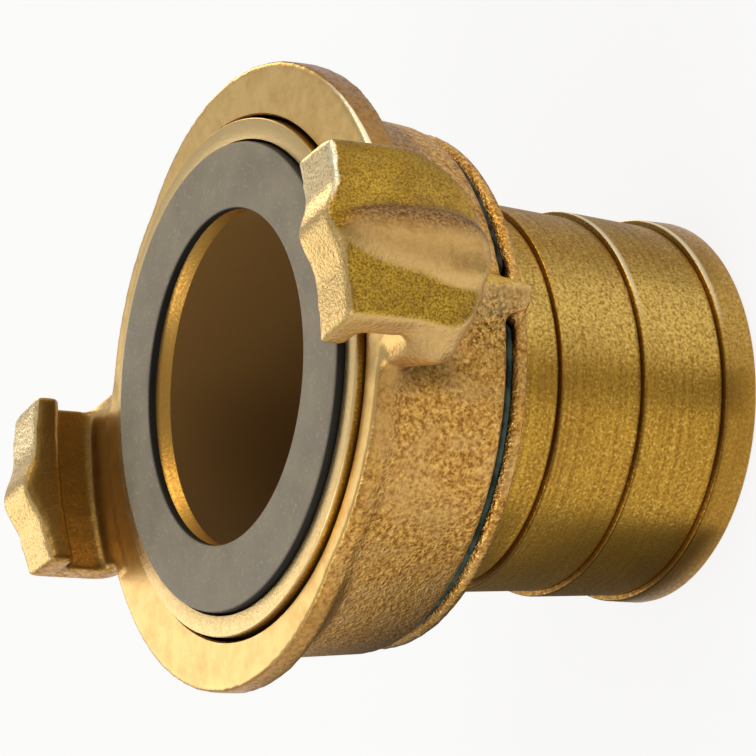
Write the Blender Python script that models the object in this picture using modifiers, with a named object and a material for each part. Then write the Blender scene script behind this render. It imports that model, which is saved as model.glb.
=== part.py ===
"""Two-claw bayonet swivel coupling with a barbed hose tail, cast brass, for a 51 mm hose.

Frame: +Z runs along the bore from the hose end to the seal face, the hose end face is at Z = 0
and the two claws lie on +X and -X. Lengths are in metres.
"""
import math

import bmesh
import bpy

# Hose tail, stations stacked from the hose end
BARB_RADIUS = 0.0261
BARB_TAPER = 0.0008
BARB_PITCH = 0.01265
END_BAND = 0.0051
END_ROUND = 0.0009
TAIL_WALL = 0.0040
NECK_STEP = 0.0008
NECK_LENGTH = 0.0090
JOURNAL_STEP = 0.0005
JOURNAL_OVERHANG = 0.0006
COLLAR_SHOULDER = 0.0070
COLLAR_LENGTH = 0.0083
COLLAR_PROUD = 0.0009
COLLAR_RIM = 0.00278
COLLAR_CHAMFER = 0.0003

# Face seal
SEAL_DEPTH = 0.0043
SEAL_STANDOUT = 0.0011
SEAL_LIP = 0.0013
SEAL_OVERHANG = 0.0003
SEAL_EDGE = 0.0003
INNER_WALL = 0.00135
BORE_CHAMFER = 0.0011
BORE_CHAMFER_SHARE = 0.75

# Claw ring: skirt, bead and wire groove
RING_LENGTH = 0.02375
COLLAR_GAP = 0.0005
SKIRT_WALL = 0.0025
SKIRT_TAPER = 0.0017
BEAD_RADIUS = 0.0011
BEAD_RECESS = 0.0006
GROOVE_DEPTH = 0.0023
FRONT_COVER = 0.0005

# Claw ring: spiral lobes of the flange, angles from a claw's middle, counted towards +Y
LOBE_REACH = 0.00545
LOBE_HEEL = 0.0001
LOBE_RISE = 0.00095
LOBE_THICK = 0.0044
LOBE_THIN = 0.0025
LOBE_DRAFT = 0.0015
LOBE_START_GAP = math.radians(0.4)
CLAW_WEB = 0.0018
LOBE_FULL_ANGLE = math.radians(35)
LOBE_END_ANGLE = math.radians(120)
LOBE_CURVE = 1.5

# Claws
CLAW_STANDOFF = 0.0036
CLAW_HOOK = 0.0036
CLAW_WALL = 0.0046
CLAW_HEIGHT = 0.0098
CLAW_HALF_WIDTH = 0.0115
CLAW_SIDE_DRAFT = 0.0010
CLAW_ROOT_DEPTH = 0.0040
CLAW_FLANK = 0.01035
CLAW_REAR = 0.0105
CLAW_REAR_DRAFT = 0.0049
CLAW_REAR_DROP = 0.0015
CLAW_REAR_CURVE = 1.7
CLAW_NOSE = 0.00175
CLAW_NOSE_WIDTH = 0.0057
CLAW_NOSE_OFFSET = 0.0007
CLAW_CROWN = 0.0005
LIP_THICKNESS = 0.0036
LIP_EDGE = 0.0005
POCKET_FILLET = 0.0010

# Knuckle on the back of each claw, a tapered ridge that widens towards the hose
KNUCKLE_RISE = 0.0019
KNUCKLE_DEPTH = 0.0032
KNUCKLE_LENGTH = 0.0215
KNUCKLE_LEAD = 0.0014
KNUCKLE_FRONT_HALF = 0.0035
KNUCKLE_REAR_HALF = 0.0058
KNUCKLE_FRONT_OFFSET = -0.0009
KNUCKLE_REAR_OFFSET = -0.0022
KNUCKLE_BLUNTNESS = 3.0

# Lug that bridges the wire groove behind one claw
LUG_ANGLE = math.radians(-1.5)
LUG_RISE = 0.0018
LUG_FOOT_RISE = 0.0003
LUG_INSET = 0.0003
LUG_OVERLAP = 0.0052
LUG_REAR_LOWER = 0.0018
LUG_REAR_RIDGE = 0.0008
LUG_REAR_UPPER = 0.0016
LUG_FRONT_LOWER = 0.0062
LUG_FRONT_RIDGE = -0.0005
LUG_FRONT_UPPER = 0.0032
LUG_ROUND = 0.0004

# Retaining wire
WIRE_RADIUS = 0.0004
WIRE_BEND = 0.0014
WIRE_ENGAGEMENT = 0.0012
WIRE_END_ANGLE = math.radians(6)

# Clearances between pieces
SEAT_GAP = 0.0003
SEAL_SIDE_GAP = 0.00034
SWIVEL_CLEARANCE = 0.0004
SLOT_CLEARANCE = 0.00025

# Facets
TURN_STEPS = 72
LOBE_STEPS = 30
CLAW_STEPS = 5
OUTLINE_STEPS = 20
ARC_STEPS = 4
WIRE_STEPS = 64
KNUCKLE_SIDES = 24
KNUCKLE_STEPS = 12
ROUND_STEPS = 2
BURIED = 0.0010
MERGE_DISTANCE = 0.00001

# Heights worked out from the stack
BARB_LINES = [END_BAND, END_BAND + BARB_PITCH, END_BAND + 2 * BARB_PITCH]
JOURNAL_START = BARB_LINES[-1] + NECK_LENGTH
RING_REAR = JOURNAL_START + JOURNAL_OVERHANG
RING_FRONT = RING_REAR + RING_LENGTH
COLLAR_FRONT = RING_FRONT + COLLAR_PROUD
COLLAR_REAR = COLLAR_FRONT - COLLAR_LENGTH
SEAL_FLOOR = COLLAR_FRONT - SEAL_DEPTH
SEAL_FACE = COLLAR_FRONT + SEAL_STANDOUT
SEAL_LIP_UNDER = SEAL_FACE - SEAL_LIP
INNER_WALL_TOP = SEAL_LIP_UNDER - SEAT_GAP
GROOVE_HALF_WIDTH = WIRE_RADIUS + SEAT_GAP
GROOVE_REAR = RING_REAR + 2 * BEAD_RADIUS
WIRE_HEIGHT = GROOVE_REAR + GROOVE_HALF_WIDTH
GROOVE_FRONT = WIRE_HEIGHT + GROOVE_HALF_WIDTH
CLAW_TIP = RING_FRONT + CLAW_HEIGHT
LIP_REAR = CLAW_TIP - LIP_THICKNESS
FLANK_END = CLAW_TIP - CLAW_FLANK
CLAW_BACK = FLANK_END - CLAW_REAR

# Radii worked out from the barbs outwards
BORE_RADIUS = BARB_RADIUS - TAIL_WALL
NECK_RADIUS = BARB_RADIUS - NECK_STEP
JOURNAL_RADIUS = BARB_RADIUS + JOURNAL_STEP
COLLAR_RADIUS = JOURNAL_RADIUS + COLLAR_SHOULDER
RECESS_RADIUS = COLLAR_RADIUS - COLLAR_RIM
INNER_WALL_RADIUS = BORE_RADIUS + INNER_WALL
RING_BORE = JOURNAL_RADIUS + SWIVEL_CLEARANCE
COUNTERBORE = COLLAR_RADIUS + COLLAR_GAP
SKIRT_RADIUS = COUNTERBORE + SKIRT_WALL
SKIRT_REAR_RADIUS = SKIRT_RADIUS - SKIRT_TAPER
BEAD_OUTER = SKIRT_REAR_RADIUS - BEAD_RECESS
GROOVE_RADIUS = SKIRT_REAR_RADIUS - GROOVE_DEPTH
WIRE_RING_RADIUS = GROOVE_RADIUS + SEAT_GAP + WIRE_RADIUS
WIRE_TIP_RADIUS = JOURNAL_RADIUS - WIRE_ENGAGEMENT
TAIL_GROOVE_RADIUS = WIRE_TIP_RADIUS - SWIVEL_CLEARANCE
LIP_RADIUS = SKIRT_RADIUS + CLAW_STANDOFF
CLAW_NECK_RADIUS = LIP_RADIUS + CLAW_HOOK
CLAW_OUTER_RADIUS = CLAW_NECK_RADIUS + CLAW_WALL
CLAW_ROOT_RADIUS = COUNTERBORE + SKIRT_WALL / 4
FLANGE_ROOT_RADIUS = COUNTERBORE + SKIRT_WALL / 2
SLOT_MOUTH_RADIUS = GROOVE_RADIUS + GROOVE_DEPTH / 4


def remove_scene_objects():
    for obj in list(bpy.data.objects):
        bpy.data.objects.remove(obj, do_unlink=True)


def new_collection(name):
    collection = bpy.data.collections.new(name)
    bpy.context.scene.collection.children.link(collection)
    return collection


def new_material(name, color, metallic, roughness):
    material = bpy.data.materials.new(name)
    material.use_nodes = True
    shader = material.node_tree.nodes["Principled BSDF"]
    shader.inputs["Base Color"].default_value = (*color, 1.0)
    shader.inputs["Metallic"].default_value = metallic
    shader.inputs["Roughness"].default_value = roughness
    return material


def add_object(name, data, collection, material=None):
    obj = bpy.data.objects.new(name, data)
    collection.objects.link(obj)
    if material:
        data.materials.append(material)
    return obj


def add_tool(name, data):
    tool = add_object(name, data, tools)
    tool.hide_render = True
    tool.display_type = "WIRE"
    return tool


def mesh_from(name, build):
    mesh = bpy.data.meshes.new(name)
    bm = bmesh.new()
    build(bm)
    bmesh.ops.recalc_face_normals(bm, faces=bm.faces)
    bm.to_mesh(mesh)
    bm.free()
    return mesh


def profile_mesh(name, profile, closed):
    count = len(profile)
    edges = [(i, i + 1) for i in range(count - 1)]
    if closed:
        edges.append((count - 1, 0))
    mesh = bpy.data.meshes.new(name)
    mesh.from_pydata([(radius, 0.0, height) for radius, height in profile], edges, [])
    return mesh


def turn(obj):
    screw = obj.modifiers.new("Turn", "SCREW")
    screw.axis = "Z"
    screw.angle = math.tau
    screw.steps = TURN_STEPS
    screw.render_steps = TURN_STEPS
    screw.use_merge_vertices = True
    screw.merge_threshold = MERGE_DISTANCE
    screw.use_smooth_shade = True


def combine(obj, other, operation):
    boolean = obj.modifiers.new(operation.title(), "BOOLEAN")
    boolean.operation = operation
    boolean.solver = "EXACT"
    boolean.object = other


def arc(center, radius, start, end):
    """Points on an arc of a profile, with angles in degrees from +R towards +Z."""
    points = []
    for i in range(ARC_STEPS + 1):
        angle = math.radians(start + (end - start) * i / ARC_STEPS)
        points.append((center[0] + radius * math.cos(angle), center[1] + radius * math.sin(angle)))
    return points


def loft(bm, rings):
    """Skin a stack of rings with equal point counts and close both ends."""
    rows = [[bm.verts.new(point) for point in ring] for ring in rings]
    count = len(rows[0])
    for lower, upper in zip(rows, rows[1:]):
        for i in range(count):
            j = (i + 1) % count
            bm.faces.new((lower[i], lower[j], upper[j], upper[i]))
    bm.faces.new(rows[0])
    bm.faces.new(rows[-1])


def tail_profile():
    outer = [
        (RECESS_RADIUS, COLLAR_FRONT),
        (COLLAR_RADIUS - COLLAR_CHAMFER, COLLAR_FRONT),
        (COLLAR_RADIUS, COLLAR_FRONT - COLLAR_CHAMFER),
        (COLLAR_RADIUS, COLLAR_REAR),
        (JOURNAL_RADIUS, COLLAR_REAR),
    ]
    half_groove = WIRE_RADIUS + SWIVEL_CLEARANCE
    outer += [
        (JOURNAL_RADIUS, WIRE_HEIGHT + half_groove),
        (TAIL_GROOVE_RADIUS, WIRE_HEIGHT + half_groove),
        (TAIL_GROOVE_RADIUS, WIRE_HEIGHT - half_groove),
        (JOURNAL_RADIUS, WIRE_HEIGHT - half_groove),
        (JOURNAL_RADIUS, JOURNAL_START),
        (NECK_RADIUS, JOURNAL_START - (JOURNAL_RADIUS - NECK_RADIUS)),
        (NECK_RADIUS, BARB_LINES[-1]),
    ]
    # Each barb has a sharp edge that faces the claws and tapers towards the hose end
    for crest, foot in zip(BARB_LINES[:0:-1], BARB_LINES[-2::-1]):
        outer.append((BARB_RADIUS, crest))
        outer.append((BARB_RADIUS - BARB_TAPER, foot))
    outer.append((BARB_RADIUS, END_BAND))
    outer += arc((BARB_RADIUS - END_ROUND, END_ROUND), END_ROUND, 0, -90)
    inner = [
        (BORE_RADIUS, 0.0),
        (BORE_RADIUS, INNER_WALL_TOP - BORE_CHAMFER),
        (BORE_RADIUS + BORE_CHAMFER_SHARE * INNER_WALL, INNER_WALL_TOP),
        (INNER_WALL_RADIUS, INNER_WALL_TOP),
        (INNER_WALL_RADIUS, SEAL_FLOOR),
        (RECESS_RADIUS, SEAL_FLOOR),
    ]
    return outer + inner


def seal_profile():
    outer_radius = RECESS_RADIUS - SEAL_SIDE_GAP
    inner_radius = BORE_RADIUS - SEAL_OVERHANG
    body_radius = INNER_WALL_RADIUS + SEAT_GAP
    return [
        (inner_radius + SEAL_EDGE, SEAL_FACE),
        (outer_radius - SEAL_EDGE, SEAL_FACE),
        (outer_radius, SEAL_FACE - SEAL_EDGE),
        (outer_radius, SEAL_FLOOR + SEAT_GAP),
        (body_radius, SEAL_FLOOR + SEAT_GAP),
        (body_radius, SEAL_LIP_UNDER),
        (inner_radius, SEAL_LIP_UNDER),
        (inner_radius, SEAL_FACE - SEAL_EDGE),
    ]


def skirt_profile():
    """Outside of the ring casting: skirt, wire groove and rear bead, closed on the axis."""
    top = RING_FRONT - FRONT_COVER
    points = [(0.0, top), (SKIRT_RADIUS, top), (SKIRT_REAR_RADIUS, GROOVE_FRONT + BEAD_RECESS)]
    points += [
        (SKIRT_REAR_RADIUS - BEAD_RECESS, GROOVE_FRONT),
        (GROOVE_RADIUS, GROOVE_FRONT),
        (GROOVE_RADIUS, GROOVE_REAR),
    ]
    points += arc((BEAD_OUTER - BEAD_RADIUS, RING_REAR + BEAD_RADIUS), BEAD_RADIUS, 90, -90)
    points.append((0.0, RING_REAR))
    return points


def bore_profile():
    """Machined inside of the ring: journal bore and the counterbore for the tail's collar."""
    shoulder = COLLAR_REAR - SEAT_GAP
    return [
        (0.0, RING_FRONT + BURIED),
        (COUNTERBORE, RING_FRONT + BURIED),
        (COUNTERBORE, shoulder),
        (RING_BORE, shoulder),
        (RING_BORE, RING_REAR - BURIED),
        (0.0, RING_REAR - BURIED),
    ]


def lobe_share(angle):
    """One at the full lobe beside a claw, zero where the lobe has run out."""
    turned = (angle - LOBE_FULL_ANGLE) / (LOBE_END_ANGLE - LOBE_FULL_ANGLE)
    return 1.0 - min(max(turned, 0.0), 1.0) ** LOBE_CURVE


def flange_station(angle, claw_angle):
    """Rim radius and thickness of the flange at an angle from a claw's middle."""
    if angle <= claw_angle:
        return CLAW_NECK_RADIUS + BURIED, CLAW_WEB
    share = lobe_share(angle)
    rise = max(angle - LOBE_END_ANGLE, 0.0) / (math.pi - claw_angle - LOBE_END_ANGLE)
    heel = LOBE_HEEL + LOBE_RISE * rise
    radius = SKIRT_RADIUS + heel + (LOBE_REACH - LOBE_HEEL) * share
    return radius, LOBE_THIN + (LOBE_THICK - LOBE_THIN) * share


def build_flange(bm):
    claw_angle = math.asin((CLAW_HALF_WIDTH - SEAT_GAP) / CLAW_NECK_RADIUS)
    first_lobe = claw_angle + LOBE_START_GAP
    span = math.pi - 2 * first_lobe
    angles = [claw_angle * (2 * i / CLAW_STEPS - 1) for i in range(CLAW_STEPS + 1)]
    angles += [first_lobe + span * i / LOBE_STEPS for i in range(LOBE_STEPS + 1)]
    front, rim, root = [], [], []
    for half_turn in (0.0, math.pi):
        for angle in angles:
            radius, thickness = flange_station(angle, claw_angle)
            x = math.cos(angle + half_turn)
            y = math.sin(angle + half_turn)
            front.append((radius * x, radius * y, RING_FRONT))
            rim.append((radius * x, radius * y, RING_FRONT - thickness))
            root_height = RING_FRONT - LOBE_THICK - LOBE_DRAFT
            root.append((FLANGE_ROOT_RADIUS * x, FLANGE_ROOT_RADIUS * y, root_height))
    loft(bm, [root, rim, front])


def claw_outline(half_width, back):
    """Plan of a claw in Y and Z: nose at the front, parallel flanks, rounded back."""
    points = []
    for i in range(OUTLINE_STEPS + 1):
        y = half_width * (2 * i / OUTLINE_STEPS - 1)
        reach = min(abs(y - CLAW_NOSE_OFFSET) / CLAW_NOSE_WIDTH, 1.0)
        nose = CLAW_NOSE * (0.5 + 0.5 * math.cos(math.pi * reach))
        crown = CLAW_CROWN * (1.0 - (y / half_width) ** 2)
        points.append((y, CLAW_TIP + nose + crown))
    for i in range(OUTLINE_STEPS + 1):
        turned = math.pi * i / OUTLINE_STEPS
        side = math.copysign(abs(math.cos(turned)) ** (2 / CLAW_REAR_CURVE), math.cos(turned))
        depth = math.sin(turned) ** (2 / CLAW_REAR_CURVE)
        points.append((half_width * side, FLANK_END - (FLANK_END - back) * depth))
    return points


def build_claw_block(bm):
    root = claw_outline(CLAW_HALF_WIDTH + CLAW_SIDE_DRAFT, CLAW_BACK - CLAW_REAR_DRAFT)
    top = claw_outline(CLAW_HALF_WIDTH, CLAW_BACK)
    root_x = COUNTERBORE - CLAW_ROOT_DEPTH
    top_x = CLAW_OUTER_RADIUS + BURIED
    loft(bm, [[(root_x, y, z) for y, z in root], [(top_x, y, z) for y, z in top]])


def claw_section():
    """Radial section of the claws: back, rear slope, hook lip and the pocket under it."""
    back_radius = CLAW_OUTER_RADIUS - CLAW_REAR_DROP
    floor = RING_FRONT - FRONT_COVER
    front = CLAW_TIP + CLAW_NOSE + CLAW_CROWN + BURIED
    points = [(LIP_RADIUS, front), (CLAW_OUTER_RADIUS, front), (CLAW_OUTER_RADIUS, FLANK_END)]
    points += [
        (back_radius, CLAW_BACK + CLAW_REAR_DROP),
        (back_radius - CLAW_REAR_DROP, CLAW_BACK),
        (CLAW_ROOT_RADIUS, CLAW_BACK - CLAW_REAR_DRAFT),
        (CLAW_ROOT_RADIUS, floor),
        (CLAW_NECK_RADIUS, floor),
    ]
    corner = (CLAW_NECK_RADIUS - POCKET_FILLET, LIP_REAR - POCKET_FILLET)
    points += arc(corner, POCKET_FILLET, 0, 90)
    points += [(LIP_RADIUS + LIP_EDGE, LIP_REAR), (LIP_RADIUS, LIP_REAR + LIP_EDGE)]
    return points


def build_knuckle(bm):
    """Ridge of elliptic sections, sunk into the claw's back and rounded off at both ends."""
    center_x = CLAW_OUTER_RADIUS + KNUCKLE_RISE - KNUCKLE_DEPTH
    rings = []
    for i in range(KNUCKLE_STEPS + 1):
        # Stations lie closer together towards the rounded ends
        along = 0.5 - 0.5 * math.cos(math.pi * (i + 0.5) / (KNUCKLE_STEPS + 1))
        size = (1.0 - abs(2 * along - 1.0) ** KNUCKLE_BLUNTNESS) ** (1 / KNUCKLE_BLUNTNESS)
        half = size * (KNUCKLE_FRONT_HALF + (KNUCKLE_REAR_HALF - KNUCKLE_FRONT_HALF) * along)
        offset = KNUCKLE_FRONT_OFFSET + (KNUCKLE_REAR_OFFSET - KNUCKLE_FRONT_OFFSET) * along
        z = CLAW_TIP + KNUCKLE_LEAD - KNUCKLE_LENGTH * along
        ring = []
        for j in range(KNUCKLE_SIDES):
            angle = math.tau * j / KNUCKLE_SIDES
            x = center_x + size * KNUCKLE_DEPTH * math.cos(angle)
            ring.append((x, offset + half * math.sin(angle), z))
        rings.append(ring)
    loft(bm, rings)


def build_box(bm, low, high):
    bmesh.ops.create_cube(bm, size=1.0)
    size = [b - a for a, b in zip(low, high)]
    middle = [(a + b) / 2 for a, b in zip(low, high)]
    bmesh.ops.scale(bm, verts=bm.verts, vec=size)
    bmesh.ops.translate(bm, verts=bm.verts, vec=middle)


def build_lug(bm):
    """Roof-shaped lug that flares towards the claw, where its front end is buried."""
    front = CLAW_BACK - CLAW_REAR_DRAFT + LUG_OVERLAP
    skirt_slope = SKIRT_TAPER / (RING_FRONT - FRONT_COVER - GROOVE_FRONT - BEAD_RECESS)
    front_rise = skirt_slope * (front - GROOVE_FRONT - BEAD_RECESS)
    stations = [
        (RING_REAR + LUG_INSET, 0.0, LUG_REAR_LOWER, LUG_REAR_RIDGE, LUG_REAR_UPPER),
        (front, front_rise, LUG_FRONT_LOWER, LUG_FRONT_RIDGE, LUG_FRONT_UPPER),
    ]
    base_x = GROOVE_RADIUS - BURIED
    rings = []
    for z, rise, lower, ridge, upper in stations:
        foot_x = SKIRT_REAR_RADIUS + rise + LUG_FOOT_RISE
        ridge_x = SKIRT_REAR_RADIUS + rise + LUG_RISE
        section = [(base_x, -lower), (foot_x, -lower), (ridge_x, ridge), (foot_x, upper), (base_x, upper)]
        rings.append([(x, y, z) for x, y in section])
    loft(bm, rings)
    outer_edges = [e for e in bm.edges if all(v.co.x > SKIRT_REAR_RADIUS for v in e.verts)]
    bmesh.ops.bevel(bm, geom=outer_edges, offset=LUG_ROUND, segments=ROUND_STEPS, affect="EDGES")


def build_slot(bm, side):
    """Slot through the skirt for one bent wire end, on the side that the wire leaves by."""
    half = WIRE_RADIUS + SLOT_CLEARANCE
    ends = sorted((-side * half, side * (WIRE_BEND + half)))
    low = (RING_BORE - BURIED, ends[0], WIRE_HEIGHT - half)
    high = (SLOT_MOUTH_RADIUS, ends[1], WIRE_HEIGHT + half)
    build_box(bm, low, high)


def make_claw_ring(material):
    ring = add_object("claw_ring", profile_mesh("claw_ring", skirt_profile(), False), parts, material)
    turn(ring)
    combine(ring, add_tool("lobed_flange", mesh_from("lobed_flange", build_flange)), "UNION")
    section = add_tool("claw_section", profile_mesh("claw_section", claw_section(), True))
    # The start of the turned section lies between the claws
    section.rotation_euler.z = math.pi / 2
    turn(section)
    for name, angle in (("a", 0.0), ("b", math.pi)):
        claw = add_tool("claw_" + name, mesh_from("claw_" + name, build_claw_block))
        knuckle = add_tool("knuckle_" + name, mesh_from("knuckle_" + name, build_knuckle))
        claw.rotation_euler.z = angle
        knuckle.rotation_euler.z = angle
        combine(claw, section, "INTERSECT")
        combine(claw, knuckle, "UNION")
        combine(ring, claw, "UNION")
    lug = add_tool("wire_lug", mesh_from("wire_lug", build_lug))
    lug.rotation_euler.z = LUG_ANGLE
    combine(ring, lug, "UNION")
    bore = add_tool("ring_bore", profile_mesh("ring_bore", bore_profile(), False))
    turn(bore)
    combine(ring, bore, "DIFFERENCE")
    for name, side in (("a", 1), ("b", -1)):
        mesh = mesh_from("wire_slot_" + name, lambda bm: build_slot(bm, side))
        slot = add_tool("wire_slot_" + name, mesh)
        slot.rotation_euler.z = LUG_ANGLE + side * WIRE_END_ANGLE
        combine(ring, slot, "DIFFERENCE")
    return ring


def wire_path():
    """Open ring in the groove whose two ends turn inwards through the slots."""
    first = LUG_ANGLE + WIRE_END_ANGLE
    last = LUG_ANGLE + math.tau - WIRE_END_ANGLE
    bend = []
    for i in range(ARC_STEPS):
        angle = math.pi / 2 * i / ARC_STEPS
        radial = WIRE_RING_RADIUS - WIRE_BEND * (1.0 - math.sin(angle))
        bend.append((radial, WIRE_BEND * (1.0 - math.cos(angle))))
    leg = [(WIRE_TIP_RADIUS, 0.0)] + bend

    def place(radial, tangent, angle):
        x = radial * math.cos(angle) - tangent * math.sin(angle)
        y = radial * math.sin(angle) + tangent * math.cos(angle)
        return (x, y, WIRE_HEIGHT)

    turned_in = math.atan2(WIRE_BEND, WIRE_RING_RADIUS)
    sweep = last - first - 2 * turned_in
    points = [place(radial, tangent, first) for radial, tangent in leg]
    for i in range(WIRE_STEPS + 1):
        points.append(place(WIRE_RING_RADIUS, 0.0, first + turned_in + sweep * i / WIRE_STEPS))
    points += [place(radial, -tangent, last) for radial, tangent in reversed(leg)]
    return points


def make_retaining_wire(material):
    curve = bpy.data.curves.new("retaining_wire", "CURVE")
    curve.dimensions = "3D"
    curve.bevel_depth = WIRE_RADIUS
    curve.bevel_resolution = ROUND_STEPS
    curve.use_fill_caps = True
    path = wire_path()
    spline = curve.splines.new("POLY")
    spline.points.add(len(path) - 1)
    for point, place in zip(spline.points, path):
        point.co = (*place, 1.0)
    return add_object("retaining_wire", curve, parts, material)


def make_turned(name, profile, material):
    obj = add_object(name, profile_mesh(name, profile, True), parts, material)
    turn(obj)
    return obj


remove_scene_objects()
parts = new_collection("claw_swivel_coupling")
tools = new_collection("shaping_tools")

cast_brass = new_material("cast_brass", (0.50, 0.34, 0.13), 1.0, 0.42)
turned_brass = new_material("turned_brass", (0.54, 0.38, 0.14), 1.0, 0.34)
black_rubber = new_material("black_rubber", (0.06, 0.06, 0.06), 0.0, 0.60)
aged_wire = new_material("aged_brass_wire", (0.16, 0.24, 0.17), 0.8, 0.55)

hose_tail = make_turned("hose_tail", tail_profile(), turned_brass)
seal_ring = make_turned("seal_ring", seal_profile(), black_rubber)
claw_ring = make_claw_ring(cast_brass)
retaining_wire = make_retaining_wire(aged_wire)

# The claw ring and its wire turn together about the tail
swivel = bpy.data.objects.new("swivel_axis", None)
parts.objects.link(swivel)
for turning in (claw_ring, retaining_wire):
    turning.parent = swivel
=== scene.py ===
import bpy
import math
from mathutils import Matrix, Vector


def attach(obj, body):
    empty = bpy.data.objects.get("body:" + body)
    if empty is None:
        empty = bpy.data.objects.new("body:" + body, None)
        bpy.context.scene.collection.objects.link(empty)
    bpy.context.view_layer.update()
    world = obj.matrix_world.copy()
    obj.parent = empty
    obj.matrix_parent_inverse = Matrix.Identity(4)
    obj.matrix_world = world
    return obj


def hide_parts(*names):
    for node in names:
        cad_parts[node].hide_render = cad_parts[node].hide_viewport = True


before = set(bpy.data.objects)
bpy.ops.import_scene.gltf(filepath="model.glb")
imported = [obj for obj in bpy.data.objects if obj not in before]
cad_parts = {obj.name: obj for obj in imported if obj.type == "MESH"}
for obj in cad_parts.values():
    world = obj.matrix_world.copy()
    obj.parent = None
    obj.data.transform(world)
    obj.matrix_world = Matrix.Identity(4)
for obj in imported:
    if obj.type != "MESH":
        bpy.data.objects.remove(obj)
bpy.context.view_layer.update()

mm = 0.001
weld = 0.001 * mm
skyward = (0.37, 0.93, 0.0)  # the side of the coupling that lay uppermost
print("frame loaded")


def pickOnly(obj):
    bpy.ops.object.select_all(action="DESELECT")
    obj.select_set(True)
    bpy.context.view_layer.objects.active = obj


def applyModifier(obj, name, kind, **settings):
    pickOnly(obj)
    modifier = obj.modifiers.new(name, kind)
    for key, value in settings.items():
        setattr(modifier, key, value)
    bpy.ops.object.modifier_apply(modifier=modifier.name)


def smoothBelow(obj, degrees):
    pickOnly(obj)
    bpy.ops.object.shade_smooth_by_angle(angle=math.radians(degrees))


def weldAll(reach=weld):
    bpy.ops.mesh.select_all(action="SELECT")
    bpy.ops.mesh.remove_doubles(threshold=reach)
    bpy.ops.mesh.select_all(action="SELECT")


# one corner point drawn on, vertex after vertex, as with E in edit mode
def drawLine(name, points):
    bpy.ops.object.select_all(action="DESELECT")
    bpy.ops.mesh.primitive_plane_add(size=mm, location=points[0])
    obj = bpy.context.object
    obj.name = name
    bpy.ops.object.transform_apply(location=True, rotation=True, scale=True)
    bpy.ops.object.mode_set(mode="EDIT")
    bpy.ops.mesh.select_mode(type="VERT")
    bpy.ops.mesh.select_all(action="SELECT")
    bpy.ops.mesh.merge(type="CENTER")
    last = Vector(points[0])
    for point in points[1:]:
        step = Vector(point) - last
        bpy.ops.mesh.extrude_region_move(TRANSFORM_OT_translate={"value": step})
        last = Vector(point)
    return obj


# corners of a turned profile eased with a small round: (radius, height, round) in mm
def easedProfile(corners, steps, mostOfEdge=0.45, leastRound=0.01):
    points = []
    for i, (radius, height, ease) in enumerate(corners):
        here = Vector((radius, height))
        before = Vector(corners[i - 1][:2]) - here
        after = Vector(corners[(i + 1) % len(corners)][:2]) - here
        reach = min(ease, mostOfEdge * before.length, mostOfEdge * after.length)
        if reach < leastRound:
            points.append(here)
            continue
        start = here + before.normalized() * reach
        end = here + after.normalized() * reach
        for j in range(steps + 1):
            t = j / steps
            points.append(start * (1 - t) ** 2 + here * 2 * t * (1 - t) + end * t ** 2)
    return [(p.x * mm, 0.0, p.y * mm) for p in points]


def turnedPiece(name, corners, easeSteps, turnSteps):
    profile = easedProfile(corners, easeSteps)
    obj = drawLine(name, profile + profile[:1])
    weldAll()
    bpy.ops.mesh.spin(steps=turnSteps, angle=math.tau, center=(0, 0, 0), axis=(0, 0, 1))
    weldAll()
    bpy.ops.mesh.normals_make_consistent(inside=False)
    bpy.ops.object.mode_set(mode="OBJECT")
    return obj


# claw ring: the solid's shape with the soft edges of a sand casting, then faced and bored again; in mm
clawRing = {
    "weld": 0.002, "voxel": 0.45, "softness": 0.5, "smoothAngle": 42,
    "castFrom": 30.0, "skinPasses": 5, "clawPasses": 9, "clawRadius": 39.6, "clawWidth": 13.4,
    "front": 63.75, "faced": 63.62, "facedDepth": 0.4, "facedSlope": 0.3, "turnedTo": 38.6,
    "plug": 35.0, "plugSides": 96, "plugRoom": 1.0,
    "shoulder": 56.05, "counterbore": 34.1, "counterboreEase": 0.2, "boreSteps": 240, "overcut": 0.5,
    # where each heel is gripped on the claw along +X, and how far it is pulled
    "heels": [((43.0, -9.0, 58.4), (0.4, -1.9, -0.6)), ((39.6, -10.6, 59.6), (0.2, -1.8, -0.8))],
    "heelGrip": 1.6, "heelSlope": -0.2, "heelReach": 6.0,
    "lugTop": 50.0, "lugWidth": 8.0, "lugFoot": 34.6, "lugShare": 0.4,
}


def selectWhere(obj, test):
    bpy.ops.object.mode_set(mode="EDIT")
    bpy.ops.mesh.select_mode(type="VERT")
    bpy.ops.mesh.select_all(action="DESELECT")
    bpy.ops.object.mode_set(mode="OBJECT")
    for vertex in obj.data.vertices:
        vertex.select = test(vertex.co / mm, vertex.normal)
    bpy.ops.object.mode_set(mode="EDIT")


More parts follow.
